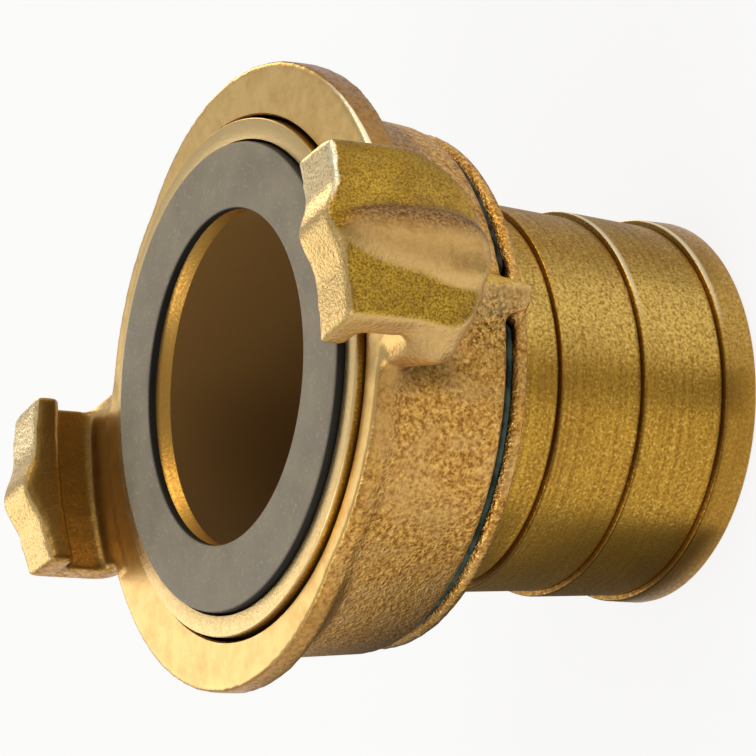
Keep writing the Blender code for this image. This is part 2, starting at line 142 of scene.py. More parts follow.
def makeClawRing(size):
    ring = bpy.data.objects.new("sandCastClawRing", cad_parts["claw_ring"].data.copy())
    bpy.context.scene.collection.objects.link(ring)
    ring.data.materials.clear()
    pickOnly(ring)
    bpy.ops.object.mode_set(mode="EDIT")
    weldAll(size["weld"] * mm)
    # the counterbore is closed while the skin is softened
    depth = size["front"] - size["shoulder"] - size["plugRoom"]
    bpy.ops.mesh.primitive_cylinder_add(vertices=size["plugSides"], radius=size["plug"] * mm, depth=depth * mm,
                                        location=(0, 0, (size["front"] - depth / 2) * mm))
    bpy.ops.object.mode_set(mode="OBJECT")
    applyModifier(ring, "voxels", "REMESH", mode="VOXEL", voxel_size=size["voxel"] * mm)
    # full heel on the leading side of each claw, pulled out with a soft fall-off
    for side in (1, -1):
        for spot, push in size["heels"]:
            heel = Vector((side * spot[0], side * spot[1], spot[2]))
            pull = Vector((side * push[0], side * push[1], push[2])) * mm
            selectWhere(ring, lambda co, normal: (co - heel).length < size["heelGrip"]
                        and normal.y * side < size["heelSlope"])
            bpy.ops.transform.translate(value=pull, use_proportional_edit=True,
                                        proportional_edit_falloff="SMOOTH", use_proportional_connected=True,
                                        proportional_size=size["heelReach"] * mm)
            bpy.ops.object.mode_set(mode="OBJECT")
    applyModifier(ring, "evenVoxels", "REMESH", mode="VOXEL", voxel_size=size["voxel"] * mm)
    # the skin is smoothed, the lug less and the claws more
    points = ring.data.vertices
    cast = ring.vertex_groups.new(name="castSkin")
    cast.add([v.index for v in points if v.co.xy.length > size["castFrom"] * mm], 1.0, "REPLACE")
    cast.add([v.index for v in points if v.co.x > 0 and v.co.z < size["lugTop"] * mm
              and abs(v.co.y) < size["lugWidth"] * mm and v.co.xy.length > size["lugFoot"] * mm],
             size["lugShare"], "REPLACE")
    claws = ring.vertex_groups.new(name="clawSkin")
    claws.add([v.index for v in points if v.co.xy.length > size["clawRadius"] * mm
               and abs(v.co.y) < size["clawWidth"] * mm], 1.0, "REPLACE")
    for group, passes in (("castSkin", size["skinPasses"]), ("clawSkin", size["clawPasses"])):
        applyModifier(ring, "soften", "SMOOTH", factor=size["softness"], iterations=passes, vertex_group=group)
    # front of the flange turned flat
    selectWhere(ring, lambda co, normal: size["faced"] < co.z < size["front"] + size["facedDepth"]
                and normal.z > size["facedSlope"]
                and (abs(co.y) > size["clawWidth"] or co.xy.length < size["turnedTo"]))
    bpy.ops.transform.resize(value=(1, 1, 0), center_override=(0, 0, size["faced"] * mm))
    bpy.ops.object.mode_set(mode="OBJECT")
    # counterbore cut with a clean, eased edge
    wide, ease, over = size["counterbore"], size["counterboreEase"], size["overcut"]
    cutter = turnedPiece("boringBar", [
        (0.0, size["shoulder"], 0.0), (wide, size["shoulder"], 0.0), (wide, size["faced"] - ease, 0.0),
        (wide + ease + over, size["faced"] + over, 0.0), (0.0, size["faced"] + over, 0.0)],
        1, size["boreSteps"])
    applyModifier(ring, "bore", "BOOLEAN", operation="DIFFERENCE", solver="EXACT", object=cutter)
    bpy.data.objects.remove(cutter)
    smoothBelow(ring, size["smoothAngle"])
    return ring


ringPiece = makeClawRing(clawRing)
print("claw ring", len(ringPiece.data.polygons), "faces")

# hose tail, in mm: radii and heights of its turned profile
hoseTail = {
    "turnSteps": 220, "easeSteps": 3, "smoothAngle": 28, "crisp": 0.1,
    "barb": 26.1, "taper": 0.8, "pitch": 12.65, "endBand": 5.1, "barbRounds": (0.3, 0.3, 0.25), "endRound": 0.9,
    "collar": 33.6, "collarFront": 64.65, "collarBack": 56.35, "collarRounds": (0.3, 0.2),
    "journal": 26.6, "journalEnd": 39.4, "journalRound": 0.35, "neck": 25.3, "neckFront": 38.1, "neckRound": 0.6,
    "groove": 25.0, "grooveFront": 43.7, "grooveBack": 42.1,
    "bore": 22.1, "boreRound": 0.4, "mouth": 23.11, "mouthStart": 62.2,
    "recess": 30.82, "recessRound": 0.12, "recessFloor": 60.35,
    "wall": 23.45, "wallFront": 64.15, "wallRound": 0.08,
}


def makeHoseTail(size):
    crisp = size["crisp"]
    barb = size["barb"]
    foot = barb - size["taper"]
    lines = [size["endBand"] + size["pitch"] * i for i in range(len(size["barbRounds"]))]
    corners = [
        (size["recess"], size["collarFront"], size["recessRound"]),
        (size["collar"], size["collarFront"], size["collarRounds"][0]),
        (size["collar"], size["collarBack"], size["collarRounds"][1]),
        (size["journal"], size["collarBack"], crisp),
        (size["journal"], size["grooveFront"], crisp), (size["groove"], size["grooveFront"], crisp),
        (size["groove"], size["grooveBack"], crisp), (size["journal"], size["grooveBack"], crisp),
        (size["journal"], size["journalEnd"], size["journalRound"]),
        (size["neck"], size["neckFront"], size["neckRound"]), (size["neck"], lines[2], crisp),
        (barb, lines[2], size["barbRounds"][2]), (foot, lines[1], crisp),
        (barb, lines[1], size["barbRounds"][1]), (foot, lines[0], crisp),
        (barb, lines[0], size["barbRounds"][0]), (barb, 0.0, size["endRound"]),
        (size["bore"], 0.0, size["boreRound"]), (size["bore"], size["mouthStart"], crisp),
        (size["mouth"], size["wallFront"], crisp), (size["wall"], size["wallFront"], size["wallRound"]),
        (size["wall"], size["recessFloor"], crisp), (size["recess"], size["recessFloor"], crisp),
    ]
    tail = turnedPiece("turnedHoseTail", corners, size["easeSteps"], size["turnSteps"])
    smoothBelow(tail, size["smoothAngle"])
    return tail


tailPiece = makeHoseTail(hoseTail)
print("hose tail", len(tailPiece.data.polygons), "faces")

# seal, in mm: moulded ring with a thin front lip that reaches over the tail's inner wall
faceSeal = {
    "turnSteps": 200, "easeSteps": 4, "smoothAngle": 35, "inner": 21.8, "outer": 30.48, "ledge": 23.75,
    "face": 65.75, "under": 64.45, "foot": 60.65, "faceRounds": (0.45, 0.5), "footRound": 0.3,
    "ledgeRound": 0.1, "lipRound": 0.25,
}


def makeFaceSeal(size):
    corners = [
        (size["inner"], size["face"], size["faceRounds"][0]), (size["outer"], size["face"], size["faceRounds"][1]),
        (size["outer"], size["foot"], size["footRound"]), (size["ledge"], size["foot"], size["footRound"]),
        (size["ledge"], size["under"], size["ledgeRound"]), (size["inner"], size["under"], size["lipRound"]),
    ]
    seal = turnedPiece("mouldedFaceSeal", corners, size["easeSteps"], size["turnSteps"])
    smoothBelow(seal, size["smoothAngle"])
    return seal


sealPiece = makeFaceSeal(faceSeal)
print("face seal", len(sealPiece.data.polygons), "faces")

# retaining wire, in mm and degrees: open ring whose ends turn in beside the lug
lockWire = {
    "height": 42.9, "ring": 33.3, "tip": 25.4, "bend": 1.4, "radius": 0.5, "roundness": 4, "smoothAngle": 45,
    "middle": -1.5, "endGap": 6.0, "ringSteps": 150, "bendSteps": 6,
}


def makeLockWire(size):
    def place(radial, along, angle):
        x = radial * math.cos(angle) - along * math.sin(angle)
        y = radial * math.sin(angle) + along * math.cos(angle)
        return (x * mm, y * mm, size["height"] * mm)

    first = math.radians(size["middle"] + size["endGap"])
    last = math.radians(size["middle"] + 360 - size["endGap"])
    leg = [(size["tip"], 0.0)]
    for i in range(size["bendSteps"]):
        turn = math.pi / 2 * i / size["bendSteps"]
        leg.append((size["ring"] - size["bend"] * (1 - math.sin(turn)), size["bend"] * (1 - math.cos(turn))))
    turnedIn = math.atan2(size["bend"], size["ring"])
    sweep = last - first - 2 * turnedIn
    points = [place(radial, along, first) for radial, along in leg]
    for i in range(size["ringSteps"] + 1):
        points.append(place(size["ring"], 0.0, first + turnedIn + sweep * i / size["ringSteps"]))
    points += [place(radial, -along, last) for radial, along in reversed(leg)]
    wire = drawLine("drawnLockWire", points)
    bpy.ops.object.mode_set(mode="OBJECT")
    pickOnly(wire)
    bpy.ops.object.convert(target="CURVE")
    wire = bpy.context.object
    wire.data.bevel_depth = size["radius"] * mm
    wire.data.bevel_resolution = size["roundness"]
    wire.data.use_fill_caps = True
    bpy.ops.object.convert(target="MESH")
    wire = bpy.context.object
    bpy.ops.object.mode_set(mode="EDIT")
    weldAll()
    bpy.ops.mesh.normals_make_consistent(inside=False)
    bpy.ops.object.mode_set(mode="OBJECT")
    smoothBelow(wire, size["smoothAngle"])
    return wire


wirePiece = makeLockWire(lockWire)
print("lock wire", len(wirePiece.data.polygons), "faces")


def linearColor(hexText):
    values = [int(hexText[i:i + 2], 16) / 255 for i in (1, 3, 5)]
    return [v / 12.92 if v <= 0.04045 else ((v + 0.055) / 1.055) ** 2.4 for v in values] + [1.0]


def addNode(tree, kind, inputs=None, links=None, **settings):
    node = tree.nodes.new(kind)
    for key, value in settings.items():
        setattr(node, key, value)
    for key, value in (inputs or {}).items():
        node.inputs[key].default_value = value
    for key, socket in (links or {}).items():
        tree.links.new(socket, node.inputs[key])
    return node


def startMaterial(name):
    material = bpy.data.materials.new(name)
    material.use_nodes = True
    return material, material.node_tree, material.node_tree.nodes["Principled BSDF"]


# brass is painted from brown to gold and then in coats, each a colour and the masks it covers; reads
# holds (socket, unit) by name, and a mask is a row of name, what it reads, where it is none, where it
# is full, and its share or the mask that limits it
def paintBrass(tree, look, reads):
    for name, reading, none, full, limit in look["masks"]:
        socket, unit = reads[reading]
        inputs = {"From Min": none * unit, "From Max": full * unit}
        links = {"Value": socket}
        if limit in reads:
            links["To Max"] = reads[limit][0]
        else:
            inputs["To Max"] = limit
        reads[name] = (addNode(tree, "ShaderNodeMapRange", inputs, links).outputs["Result"], 1.0)
    skin = addNode(tree, "ShaderNodeMix", {"A": linearColor(look["brown"]), "B": linearColor(look["gold"])},
                   {"Factor": reads["goldShare"][0]}, data_type="RGBA")
    for color, first, *others in look["coats"]:
        share = reads[first][0]
        for mask in others:
            share = addNode(tree, "ShaderNodeMath", None, {0: share, 1: reads[mask][0]},
                            operation="MAXIMUM").outputs["Value"]
        skin = addNode(tree, "ShaderNodeMix", {"B": linearColor(look[color])},
                       {"A": skin.outputs["Result"], "Factor": share}, data_type="RGBA")
    return skin


# sand-cast brass: the sand leaves lumps about 0.7 mm wide, gold on top and brown in the creases;
# the faced front and claw ends are pale, the claws' backs painted yellow as a painted reflection with a rubbed tan
# crest, the pockets darker and the corners darkened as painted shade; sizes in mm
castBrass = {
    "gold": "#e8b35c", "brown": "#9e6b2c", "fleck": "#f6d892", "tan": "#d3a969", "rim": "#b58848",
    "yellow": "#dcb343", "olive": "#86651f", "slope": "#6c430f", "pale": "#e2bb78", "pocket": "#8c6c36",
    "faced": "#e6c27c", "smear": "#d2a862", "clawEnd": "#e0c080", "endHighlight": "#fce6b4", "speck": "#b8934f",
    "worn": "#fff3d2", "grime": "#2a2010",
    # grain size and the noise's detail
    "noise": {"lump": (0.75, 2.0), "grain": (0.4, 1.0), "fine": (0.3, 2.0), "mottle": (6.0, 3.0),
              "stain": (2.5, 4.0)},
    "noiseRoughness": 0.55, "grainShare": 0.45, "reliefDepth": 0.3,
    "roughness": {"lump": 0.34, "crease": 0.5, "faced": 0.35},
    # the skirt's radius and the edge of the crescent of painted highlight, both as ramps
    "skirtRamp": {"From Min": 44.5, "From Max": 62.0, "To Min": 34.9, "To Max": 36.6},
    "crescentTurn": (0.3, 0.95), "crescentFoot": (62.6, 63.5),
    # middles of the darker patch under the lug and of the painted shadow under the heels; the heels' shadow is
    # squashed along the bore, so 23 is at 57.5
    "underLugPatch": (35.5, -4.8, 46.0), "heelShadow": (34.2, -11.6, 23.0), "heelSquash": (1.0, 1.0, 0.4),
    "shadeReach": 7.0, "shadeSamples": 4,
    "masks": [
        ("goldShare", "height", 0.38, 0.6, 1.0),
        ("crease", "height", 0.6, 0.38, 1.0),
        ("fleck", "height", 0.6, 0.68, 0.65),
        ("tan", "mottle", 0.45, 0.7, 0.6),
        # rim of the flange is turned and smoother than the skirt, and both get painted shade on their upper side
        ("rimOut", "reach", 36.8, 37.6, 1.0),
        ("rim", "sideSquared", 110, 150, "rimOut"),
        ("rimTint", "grain", 0.2, 0.7, "rim"),
        ("skirtFront", "along", 47, 50, 0.65),
        ("inClaws", "reach", 46.5, 45.5, "skirtFront"),
        ("upperShade", "upward", 0.5, 0.9, "inClaws"),
        # backs of the claws are painted olive and yellow as a painted reflection; the knuckle's upper slope is
        # painted brown as painted shade, and its crest is rubbed tan
        ("backOut", "reach", 46.0, 47.6, 0.85),
        ("back", "away", 0.5, 0.8, "backOut"),
        ("backYellow", "fine", 0.36, 0.62, "back"),
        ("backTop", "side", 5, 13, "back"),
        ("backStain", "mottle", 0.42, 0.9, "back"),
        ("crest", "reach", 48.6, 49.5, 0.9),
        ("slopeOut", "reach", 48.4, 48.8, 1.0),
        ("slopeSide", "side", -1.8, 0.8, "slopeOut"),
        ("slope", "grain", 0.95, 0.35, "slopeSide"),
        ("rubMark", "stain", 0.52, 0.72, 0.6),
        ("mark", "crest", 0.0, 1.0, "rubMark"),
        # side of each claw that leads when the ring is turned is painted pale as a painted reflection, pockets are
        # dark
        ("clawShare", "reach", 37.5, 39, 0.85),
        ("offBack", "away", 0.93, 0.78, "clawShare"),
        ("leading", "sideways", -0.05, -0.5, "offBack"),
        ("pocketFront", "along", 62, 63, "clawShare"),
        ("pocket", "away", -0.2, -0.5, "pocketFront"),
        # lug: upper face painted yellow like the claws' backs as a painted reflection, outer face rubbed pale
        ("lugOut", "offSkirt", 0.35, 0.7, 1.0),
        ("lug", "along", 49, 48, "lugOut"),
        ("lugTop", "sideways", 0.1, 0.4, "lug"),
        ("lugFace", "stain", 0.35, 0.6, "lug"),
        # faced surfaces look along the bore and lie at or before the ring's front
        ("ahead", "along", 63.0, 63.4, 1.0),
        ("faced", "frontward", 0.6, 0.9, "ahead"),
        ("smear", "stain", 0.42, 0.75, "faced"),
        ("clawEnd", "along", 70, 71, 1.0),
        ("endFace", "clawEnd", 0.0, 1.0, "faced"),
        # the upper part of each claw's end is painted lighter, a painted highlight
        ("endHighlight", "level", 1, 6, "endFace"),
        ("speck", "fine", 0.52, 0.3, "endFace"),
        # upper edge of each claw's end gets a painted highlight, and so does the flange's edge where a lobe meets
        # its claw
        ("endTop", "level", 2, 6, "clawEnd"),
        ("edge", "outerEdge", 0.22, 0.38, "endTop"),
        ("lobeOut", "reach", 38.6, 39.2, 1.0),
        ("lobeFace", "away", 0.4, 0.7, "lobeOut"),
        ("lobeStart", "turn", 0.26, 0.3, "lobeFace"),
        ("lobeStop", "turn", 1.0, 0.9, "lobeStart"),
        ("crescent", "offCrescent", 0.0, 0.15, "lobeStop"),
        # painted shade where the casting shades itself, a darker patch under the lug, a painted shadow under the
        # heels, and painted shade low on the bead
        ("hollow", "shade", 0.7, 0.3, 0.85),
        ("lugNear", "lugDistance", 6.0, 1.0, 0.7),
        ("underLugPatch", "height", 0.6, 0.38, "lugNear"),
        ("heelLow", "reach", 37.8, 36.6, 0.65),
        ("heelShadow", "heelDistance", 3.8, 1.0, "heelLow"),
        ("rear", "along", 57, 46, 0.6),
        ("lowSideDarkening", "upward", -0.62, -0.93, "rear"),
    ],
    # from the bare casting up
    "coats": [
        ("fleck", "fleck"), ("tan", "tan"), ("rim", "rimTint"), ("slope", "upperShade"), ("olive", "back"),
        ("yellow", "backYellow"), ("olive", "backTop"), ("slope", "backStain"), ("tan", "crest"),
        ("slope", "slope"), ("brown", "mark"), ("pale", "leading"), ("pocket", "pocket"), ("pale", "lugFace"),
        ("yellow", "lugTop"), ("faced", "faced"), ("smear", "smear"), ("clawEnd", "endFace"),
        ("endHighlight", "endHighlight"), ("speck", "speck"), ("worn", "edge"), ("worn", "crescent"),
        ("grime", "hollow"), ("grime", "underLugPatch"), ("grime", "heelShadow"), ("grime", "lowSideDarkening"),
    ],
    # what is left of the sand relief where the brass was turned, rubbed or faced, on the claws' pale leading sides
    # and in the pockets
    "relief": [("rim", 0.35), ("crest", 0.25), ("leading", 0.6), ("pocket", 0.1), ("faced", 0.1),
               ("endFace", 0.45)],
}


def makeCastBrass(look):
    material, tree, shader = startMaterial("sandCastBrass")
    where = addNode(tree, "ShaderNodeTexCoord")
    spot = where.outputs["Object"]
    normal = where.outputs["Normal"]
    place = addNode(tree, "ShaderNodeSeparateXYZ", None, {"Vector": spot}).outputs
    facing = addNode(tree, "ShaderNodeSeparateXYZ", None, {"Vector": normal}).outputs
    along = place["Z"]
    reads = {"along": (along, mm), "level": (place["Y"], mm), "frontward": (facing["Z"], 1.0)}
    for name, (grain, detail) in look["noise"].items():
        noise = addNode(tree, "ShaderNodeTexNoise", {"Scale": 1 / (grain * mm), "Detail": detail,
                        "Roughness": look["noiseRoughness"]}, {"Vector": spot})
        reads[name] = (noise.outputs["Fac"], 1.0)
    height = addNode(tree, "ShaderNodeMix", {"Factor": look["grainShare"]},
                     {"A": reads["lump"][0], "B": reads["grain"][0]}, data_type="FLOAT").outputs["Result"]

    # where a point lies round the bore: radius, way it faces, and side of the claw's middle
    flat = addNode(tree, "ShaderNodeVectorMath", {1: (1.0, 1.0, 0.0)}, {0: spot},
                   operation="MULTIPLY").outputs["Vector"]
    reach = addNode(tree, "ShaderNodeVectorMath", None, {0: flat}, operation="LENGTH").outputs["Value"]
    outward = addNode(tree, "ShaderNodeVectorMath", None, {0: flat}, operation="NORMALIZE").outputs["Vector"]
    away = addNode(tree, "ShaderNodeVectorMath", None, {0: outward, 1: normal},
                   operation="DOT_PRODUCT").outputs["Value"]
    half = addNode(tree, "ShaderNodeMath", None, {0: place["X"]}, operation="SIGN").outputs["Value"]
    side = addNode(tree, "ShaderNodeMath", None, {0: place["Y"], 1: half}, operation="MULTIPLY").outputs["Value"]
    sideways = addNode(tree, "ShaderNodeMath", None, {0: facing["Y"], 1: half}, operation="MULTIPLY")
    upward = addNode(tree, "ShaderNodeVectorMath", {1: skyward}, {0: normal}, operation="DOT_PRODUCT")
    sideSquared = addNode(tree, "ShaderNodeMath", None, {0: side, 1: side}, operation="MULTIPLY")
    outerEdge = addNode(tree, "ShaderNodeMath", None, {0: facing["Z"], 1: away}, operation="MULTIPLY")
    turn = addNode(tree, "ShaderNodeMath", None, {0: place["Y"], 1: place["X"]},
                   operation="DIVIDE").outputs["Value"]

    # height above the skirt, and above the foot of the crescent of painted highlight, which climbs round the lobe
    skirt = addNode(tree, "ShaderNodeMapRange", {key: value * mm for key, value in look["skirtRamp"].items()},
                    {"Value": along})
    offSkirt = addNode(tree, "ShaderNodeMath", None, {0: reach, 1: skirt.outputs["Result"]},
                       operation="SUBTRACT")
    foot = addNode(tree, "ShaderNodeMapRange", {
        "From Min": look["crescentTurn"][0], "From Max": look["crescentTurn"][1],
        "To Min": look["crescentFoot"][0] * mm, "To Max": look["crescentFoot"][1] * mm}, {"Value": turn})
    offCrescent = addNode(tree, "ShaderNodeMath", None, {0: along, 1: foot.outputs["Result"]},
                          operation="SUBTRACT")

    # distance from the darker patch at the lug, and from the painted shadow at both heels in patches that are long
    # along the bore
    lugDistance = addNode(tree, "ShaderNodeVectorMath", {1: [a * mm for a in look["underLugPatch"]]}, {0: spot},
                          operation="DISTANCE")
    across = addNode(tree, "ShaderNodeMath", None, {0: place["X"]}, operation="ABSOLUTE")
    mirrored = addNode(tree, "ShaderNodeCombineXYZ", None, {"X": across.outputs["Value"], "Y": side, "Z": along})
    squashed = addNode(tree, "ShaderNodeVectorMath", {1: look["heelSquash"]}, {0: mirrored.outputs["Vector"]},
                       operation="MULTIPLY")
    heelDistance = addNode(tree, "ShaderNodeVectorMath", {1: [a * mm for a in look["heelShadow"]]},
                           {0: squashed.outputs["Vector"]}, operation="DISTANCE")
    shade = addNode(tree, "ShaderNodeAmbientOcclusion", {"Distance": look["shadeReach"] * mm},
                    samples=look["shadeSamples"])
    reads.update({
        "height": (height, 1.0), "reach": (reach, mm), "away": (away, 1.0), "side": (side, mm),
        "sideways": (sideways.outputs["Value"], 1.0), "upward": (upward.outputs["Value"], 1.0),
        "sideSquared": (sideSquared.outputs["Value"], mm ** 2), "outerEdge": (outerEdge.outputs["Value"], 1.0),
        "turn": (turn, 1.0), "offSkirt": (offSkirt.outputs["Value"], mm),
        "offCrescent": (offCrescent.outputs["Value"], mm), "lugDistance": (lugDistance.outputs["Value"], mm),
        "heelDistance": (heelDistance.outputs["Value"], mm), "shade": (shade.outputs["AO"], 1.0),
    })
    skin = paintBrass(tree, look, reads)

    relief = None
    for mask, left in look["relief"]:
        above = {"To Min": relief.outputs["Result"]} if relief else {}
        relief = addNode(tree, "ShaderNodeMapRange", {"To Min": 1.0, "To Max": left},
                         {"Value": reads[mask][0], **above})
    rough = look["roughness"]
    gloss = addNode(tree, "ShaderNodeMapRange", {"To Min": rough["lump"], "To Max": rough["crease"]},
                    {"Value": reads["crease"][0]})
    matt = addNode(tree, "ShaderNodeMapRange", {"To Max": rough["faced"]},
                   {"Value": reads["faced"][0], "To Min": gloss.outputs["Result"]})
    bump = addNode(tree, "ShaderNodeBump", {"Distance": look["reliefDepth"] * mm},
                   {"Height": height, "Strength": relief.outputs["Result"]})
    tree.links.new(skin.outputs["Result"], shader.inputs["Base Color"])
    tree.links.new(matt.outputs["Result"], shader.inputs["Roughness"])
    tree.links.new(bump.outputs["Normal"], shader.inputs["Normal"])
    shader.inputs["Metallic"].default_value = 1.0
    return material


# rough-turned brass: yellow gold with faint rings from the tool, a painted highlight and painted shade on each
# barb's edge and a thin dark line past it, a painted sheen streak on one side, and a dull brown oxide on the wet
# inside; sizes in mm
turnedBrass = {
    "gold": "#d0a13e", "brown": "#9a702c", "fleck": "#ecd07c", "oxide": "#96703c", "grime": "#352410",
    "crest": "#fff2cc", "faced": "#dcbe84", "mouth": "#cb9a4c",
    "grain": 0.4, "grainRoughness": 0.6, "ring": 0.8, "ringShare": 0.25, "cloud": 9.0,
    "streakWay": (0.99, 0.14, 0.0), "reliefDepth": 0.1, "reliefStrength": 0.5,
    "roughness": {"brown": 0.46, "gold": 0.3, "inside": 0.75}, "insideMetal": 0.3,
    "masks": [
        ("goldShare", "skinGrain", 0.36, 0.62, 1.0),
        ("fleck", "grain", 0.62, 0.7, 0.6),
        ("clouded", "cloud", 0.45, 0.72, 0.5),
        # a brighter streak along one side is a painted highlight
        ("streakGrain", "grain", 0.3, 0.65, 0.55),
        ("paintedSheen", "streakFacing", 0.93, 0.995, "streakGrain"),
        # the end band is painted browner
        ("endBandBrowner", "along", 5.4, 4.6, 0.5),
        # each barb's edge gets a painted highlight along its upper side and painted shade along its lower side,
        # and a thin dark line lies just past it
        ("hoseHalf", "along", 25, 22, 1.0),
        ("highlightSide", "upward", 0.4, 0.75, "hoseHalf"),
        ("highlightStop", "past", 0.02, -0.04, "highlightSide"),
        ("edgeHighlight", "past", -0.9, -0.35, "highlightStop"),
        ("barbs", "along", 36, 34, 1.0),
        ("lineStart", "past", -0.02, 0.02, "barbs"),
        ("line", "past", 0.3, 0.05, "lineStart"),
        ("darkSide", "upward", 0.35, -0.2, 0.65),
        ("darkStop", "past", 0.02, -0.04, "darkSide"),
        ("darkBarbs", "along", 36, 34, "darkStop"),
        ("darkEdge", "past", -0.5, -0.25, "darkBarbs"),
        # the collar's front was faced and is pale; the bore's mouth and wall look towards the axis
        ("collarFront", "along", 64.2, 64.4, 1.0),
        ("mouth", "away", -0.3, -0.5, 0.85),
        ("inside", "away", -0.94, -0.98, 1.0),
        # the bore is darkened on the side that lay lowest
        ("lowSideDarkening", "upward", -0.1, 0.9, 0.6),
    ],
    "coats": [
        ("fleck", "fleck"), ("brown", "clouded"), ("fleck", "paintedSheen"), ("brown", "endBandBrowner"),
        ("crest", "edgeHighlight"), ("grime", "line", "darkEdge"), ("faced", "collarFront"), ("mouth", "mouth"),
    ],
}


def makeTurnedBrass(look, tail):
    material, tree, shader = startMaterial("roughTurnedBrass")
    where = addNode(tree, "ShaderNodeTexCoord")
    spot = where.outputs["Object"]
    normal = where.outputs["Normal"]
    along = addNode(tree, "ShaderNodeSeparateXYZ", None, {"Vector": spot}).outputs["Z"]
    grain = addNode(tree, "ShaderNodeTexNoise", {"Scale": 1 / (look["grain"] * mm), "Detail": 2.0,
                    "Roughness": look["grainRoughness"]}, {"Vector": spot})
    rings = addNode(tree, "ShaderNodeTexNoise", {"Scale": 1 / (look["ring"] * mm), "Detail": 2.0},
                    {"W": along}, noise_dimensions="1D")
    cloud = addNode(tree, "ShaderNodeTexNoise", {"Scale": 1 / (look["cloud"] * mm), "Detail": 3.0},
                    {"Vector": spot})
    skinGrain = addNode(tree, "ShaderNodeMix", {"Factor": look["ringShare"]},
                        {"A": grain.outputs["Fac"], "B": rings.outputs["Fac"]}, data_type="FLOAT")
    streakFacing = addNode(tree, "ShaderNodeVectorMath", {1: look["streakWay"]}, {0: normal},
                           operation="DOT_PRODUCT")
    upward = addNode(tree, "ShaderNodeVectorMath", {1: skyward}, {0: normal}, operation="DOT_PRODUCT")
    flat = addNode(tree, "ShaderNodeVectorMath", {1: (1.0, 1.0, 0.0)}, {0: spot}, operation="MULTIPLY")
    outward = addNode(tree, "ShaderNodeVectorMath", None, {0: flat.outputs["Vector"]}, operation="NORMALIZE")
    away = addNode(tree, "ShaderNodeVectorMath", None, {0: outward.outputs["Vector"], 1: normal},
                   operation="DOT_PRODUCT")
    # distance past the nearest barb's edge; the edges repeat at the pitch
    offset = addNode(tree, "ShaderNodeMath", {1: (tail["pitch"] / 2 - tail["endBand"]) * mm}, {0: along},
                     operation="ADD")
    within = addNode(tree, "ShaderNodeMath", {1: tail["pitch"] * mm}, {0: offset.outputs["Value"]},
                     operation="FLOORED_MODULO")
    past = addNode(tree, "ShaderNodeMath", {1: tail["pitch"] / 2 * mm}, {0: within.outputs["Value"]},
                   operation="SUBTRACT")
    reads = {
        "along": (along, mm), "past": (past.outputs["Value"], mm), "grain": (grain.outputs["Fac"], 1.0),
        "skinGrain": (skinGrain.outputs["Result"], 1.0), "cloud": (cloud.outputs["Fac"], 1.0),
        "streakFacing": (streakFacing.outputs["Value"], 1.0), "upward": (upward.outputs["Value"], 1.0),
        "away": (away.outputs["Value"], 1.0),
    }
    skin = paintBrass(tree, look, reads)
    inside = reads["inside"][0]
    oxide = addNode(tree, "ShaderNodeMix", {"A": linearColor(look["brown"]), "B": linearColor(look["oxide"])},
                    {"Factor": reads["goldShare"][0]}, data_type="RGBA")
    lowSideDarkened = addNode(tree, "ShaderNodeMix", {"B": linearColor(look["grime"])},
                     {"Factor": reads["lowSideDarkening"][0], "A": oxide.outputs["Result"]}, data_type="RGBA")
    bored = addNode(tree, "ShaderNodeMix", None, {"Factor": inside, "A": skin.outputs["Result"],
                    "B": lowSideDarkened.outputs["Result"]}, data_type="RGBA")
    metal = addNode(tree, "ShaderNodeMapRange", {"To Min": 1.0, "To Max": look["insideMetal"]}, {"Value": inside})
    rough = look["roughness"]
    gloss = addNode(tree, "ShaderNodeMapRange", {"To Min": rough["brown"], "To Max": rough["gold"]},
                    {"Value": reads["goldShare"][0]})
    dull = addNode(tree, "ShaderNodeMath", {1: rough["inside"]}, {0: inside}, operation="MULTIPLY")
    matt = addNode(tree, "ShaderNodeMath", None, {0: gloss.outputs["Result"], 1: dull.outputs["Value"]},
                   operation="MAXIMUM")
    bump = addNode(tree, "ShaderNodeBump", {"Strength": look["reliefStrength"],
                   "Distance": look["reliefDepth"] * mm}, {"Height": skinGrain.outputs["Result"]})
    tree.links.new(bored.outputs["Result"], shader.inputs["Base Color"])
    tree.links.new(metal.outputs["Result"], shader.inputs["Metallic"])
    tree.links.new(matt.outputs["Value"], shader.inputs["Roughness"])
    tree.links.new(bump.outputs["Normal"], shader.inputs["Normal"])
    return material


# moulded nitrile rubber: black where it is clean, and its front face is grey with a dry film of dust;
# sizes in mm
rubberLook = {
    "rubber": "#16130f", "dusty": "#7e7462", "dust": "#958a75", "dot": "#b4a98f", "patch": 5.0, "grit": 0.5,
    "patchRange": (0.3, 0.7), "frontRange": (0.35, 0.9), "dotRange": (0.58, 0.72), "dotShare": 0.4,
    "roughness": (0.5, 0.7), "reliefDepth": 0.06, "reliefStrength": 0.3, "ior": 1.5,
}


